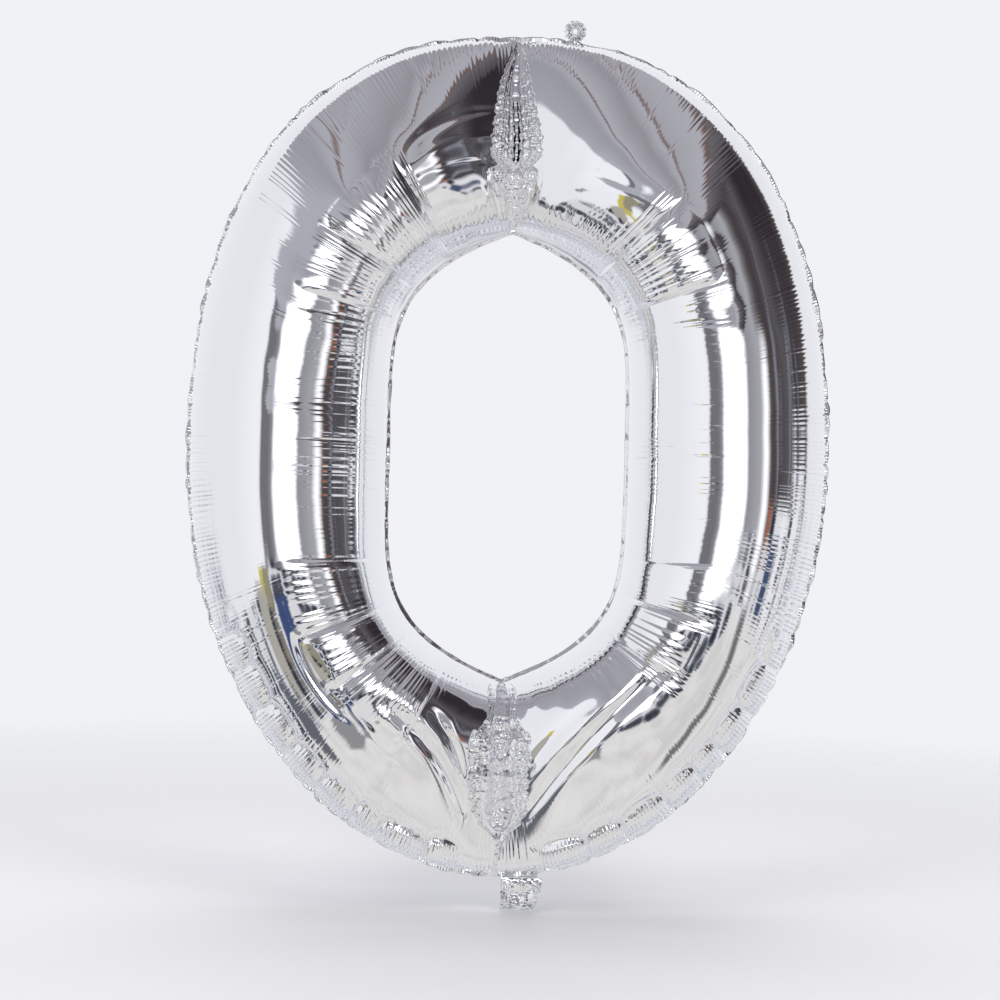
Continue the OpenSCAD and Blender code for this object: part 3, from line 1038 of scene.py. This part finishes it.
def room_walls(room):
    """White wall on the left, a dark strip, grey behind the camera, and a dark right side."""
    # Higher up, the dark right side begins further left and ends further right
    ahead_shift = room.times(room.between(room.azimuth, 18, 75, 10), 18)
    end_shift = room.times(room.step(room.azimuth, 78, 95), 11)
    shift = room.times(room.step(room.rise, 8, 24), room.less(ahead_shift, end_shift))
    colour = room.ramp(room.maths("ADD", room.azimuth, shift), WALLS)
    streaks = room.texture("Noise", 1.0)
    spread = room.tree.nodes.new("ShaderNodeCombineXYZ")
    room.tree.links.new(room.times(room.azimuth, 0.16), spread.inputs["X"])
    room.tree.links.new(room.times(room.rise, 0.03), spread.inputs["Y"])
    room.tree.links.new(spread.outputs["Vector"], streaks.inputs["Vector"])
    lit = room.step(streaks.outputs["Fac"], 0.5, 0.75)
    lit = room.times(lit, room.between(room.azimuth, 50, 98, 4))
    colour = room.mix(room.times(lit, room.step(room.rise, 26, 12)), colour, (0.30, 0.31, 0.36))
    deep = room.times(room.step(room.rise, 14, 28), room.between(room.azimuth, 60, 104, 8))
    return room.mix(room.times(deep, 0.7), colour, (0.02, 0.015, 0.018))


def room_things(room, colour):
    """Things along the right wall and on the camera's side, and a low skirting on the left."""
    clutter = room.texture("Voronoi", 9).outputs["Distance"]
    shade = room.ramp(clutter, [
        (0, (0.03, 0.03, 0.04)), (0.18, (0.08, 0.08, 0.10)), (0.28, (0.20, 0.205, 0.24)),
        (0.40, (0.50, 0.51, 0.56)), (0.6, (0.85, 0.85, 0.88)),
    ])
    slate = room.ramp(clutter, [
        (0, (0.02, 0.02, 0.03)), (0.25, (0.05, 0.05, 0.07)), (0.40, (0.10, 0.105, 0.13)),
        (0.50, (0.32, 0.33, 0.36)), (0.6, (0.7, 0.7, 0.74)),
    ])
    right_wall = room.largest(room.patch((52, 99), (-24, -5)), room.patch((76, 99), (-24, 2), (3, 3)))
    colour = room.mix(right_wall, colour, shade)
    camera_side = room.times(room.between(room.azimuth, -22, 62, 4), room.step(room.rise, -6, -8))
    colour = room.mix(camera_side, colour, slate)
    skirting = room.step(room.less(room.down, room.times(room.left, 0.45)), 0.0, 0.03)
    return room.mix(room.times(skirting, room.between(room.azimuth, -140, -14, 4)), colour, slate)


def room_floor(room, colour):
    """Pale boards, a dark leg in front of them, and patchy ground behind the nought."""
    near_edge = room.less(room.times(room.front, 0.28), room.times(room.right, 0.13))
    edge = room.largest(room.times(room.left, 1.05), room.times(room.right, 0.34), near_edge,
                        room.times(room.front, -2.0))
    grain = room.texture("Noise", 7).outputs["Fac"]
    boards = room.ramp(grain, [
        (0.3, (0.79, 0.775, 0.765)), (0.5, (0.74, 0.725, 0.715)), (0.7, (0.64, 0.63, 0.62)),
    ])
    colour = room.mix(room.step(room.less(room.down, edge), 0.0, 0.02), colour, boards)
    colour = room.mix(room.patch((35, 43), (-42, -6), (2, 3)), colour, DUSK)
    behind = room.times(room.step(room.front, 0.05, -0.15), room.step(room.down, 0.05, 0.3))
    hidden = room.ramp(grain, [
        (0.3, (0.25, 0.26, 0.30)), (0.45, (0.62, 0.63, 0.68)), (0.7, (0.88, 0.89, 0.93)),
    ])
    return room.mix(behind, colour, hidden)


def room_spots(room, colour):
    for azimuth, rise, wide, high, tint in SPOTS:
        spot = room.patch((azimuth - wide, azimuth + wide), (rise - high, rise + high), (1, 1))
        colour = room.mix(spot, colour, tint)
    return colour


def room_ceiling(room, colour):
    """Grey plaster with wooden beams, above an edge that follows the walls."""
    lowered = room.times(room.front, -0.165)
    edge = room.largest(room.maths("ADD", room.right, lowered),
                        room.times(room.less(lowered, room.right), 0.68),
                        room.times(room.front, 0.09), room.times(room.front, -2.2))
    beams = room.less(room.right, room.times(room.front, 0.10))
    beams = room.maths("DIVIDE", beams, room.maths("MAXIMUM", room.up, 0.02))
    above = room.step(room.less(room.up, edge), 0.0, 0.025)
    return room.mix(above, colour, room.ramp(beams, CEILING))


def room_windows(room, colour):
    colour = room.mix(room.patch((-8, 14), (-6, 8), (4, 1.5)), colour, WINDOW)
    return room.mix(room.patch((35, 42), (-12, 10), (2.5, 3)), colour, SECOND_WINDOW)


def make_world():
    """A studio that only the foil sees. The camera sees a plain pale backdrop instead."""
    room = Room()
    colour = room_walls(room)
    for add_part in (room_things, room_floor, room_spots, room_ceiling, room_windows):
        colour = add_part(room, colour)
    nodes, links = room.tree.nodes, room.tree.links
    rays = nodes.new("ShaderNodeLightPath")
    colour = room.mix(rays.outputs["Is Camera Ray"], colour, BACKDROP)
    light = nodes.new("ShaderNodeBackground")
    links.new(colour, light.inputs["Color"])
    out = nodes.new("ShaderNodeOutputWorld")
    links.new(light.outputs["Background"], out.inputs["Surface"])


# ---- lights, floor and camera
def softbox(name, centre, side, power):
    """A soft square light that faces the nought, but isn't mirrored by the foil."""
    data = bpy.data.lights.new(name, "AREA")
    data.shape = "RECTANGLE"
    data.size = data.size_y = side
    data.energy = power
    lamp = bpy.data.objects.new(name, data)
    bpy.context.scene.collection.objects.link(lamp)
    lamp.location = centre
    aim = Vector((MID_X, 0, MID_Z)) - Vector(centre)
    lamp.rotation_euler = aim.to_track_quat("-Z", "Y").to_euler()
    lamp.visible_camera = False
    lamp.visible_glossy = False


def make_floor():
    """A pale round floor that fades out towards its edge."""
    radius = 1.8
    rings, spokes = 24, 96
    points = [(0.0, 0.0, 0.0)]
    for r in range(1, rings + 1):
        reach = radius * r / rings
        for k in range(spokes):
            turn = 2 * math.pi * k / spokes
            points.append((reach * math.cos(turn), reach * math.sin(turn), 0.0))
    faces = [[0, 1 + k, 1 + (k + 1) % spokes] for k in range(spokes)]
    for r in range(rings - 1):
        for k in range(spokes):
            a, b = 1 + r * spokes + k, 1 + r * spokes + (k + 1) % spokes
            faces.append([a, a + spokes, b + spokes, b])
    material, tree, shader = principled("pale_floor", Roughness=0.6)
    two_tints(tree, shader, noise(tree, 3), (0.80, 0.80, 0.81), (0.78, 0.78, 0.79))
    place = tree.nodes.new("ShaderNodeTexCoord")
    length = tree.nodes.new("ShaderNodeVectorMath")
    length.operation = "LENGTH"
    tree.links.new(place.outputs["Object"], length.inputs[0])
    fade = map_range(tree, length.outputs["Value"], radius * 0.25, radius * 0.98, 1.0, 0.0)
    tree.links.new(fade, shader.inputs["Alpha"])
    floor = new_mesh("floor", np.array(points), faces, material)
    floor.location = (MID_X, 0, cad_box[0][2] - 1 * MM)
    floor.visible_glossy = False


def make_camera():
    """Level camera in front, turned a little about its own axis, as the nought leans."""
    distance, view_width, lean = 2.0, 1.0214, math.radians(1.53)
    data = bpy.data.cameras.new("camera")
    data.sensor_width = 36
    data.lens = 36 * distance / view_width
    camera = bpy.data.objects.new("camera", data)
    bpy.context.scene.collection.objects.link(camera)
    camera.location = (MID_X - 6 * MM, -distance, MID_Z - 44.5 * MM)
    turned = Matrix.Rotation(math.pi / 2, 3, "X") @ Matrix.Rotation(lean, 3, "Z")
    camera.rotation_euler = turned.to_euler()
    bpy.context.scene.camera = camera


make_world()
make_floor()
make_camera()
softbox("softbox_left", (MID_X - 1.2, -1.8, 1.9), 1.2, 20)
softbox("softbox_right", (MID_X + 1.3, -1.6, 2.0), 1.2, 20)
softbox("softbox_top", (MID_X, 0.3, 2.6), 2.0, 28)
bpy.context.scene.view_settings.view_transform = "Standard"
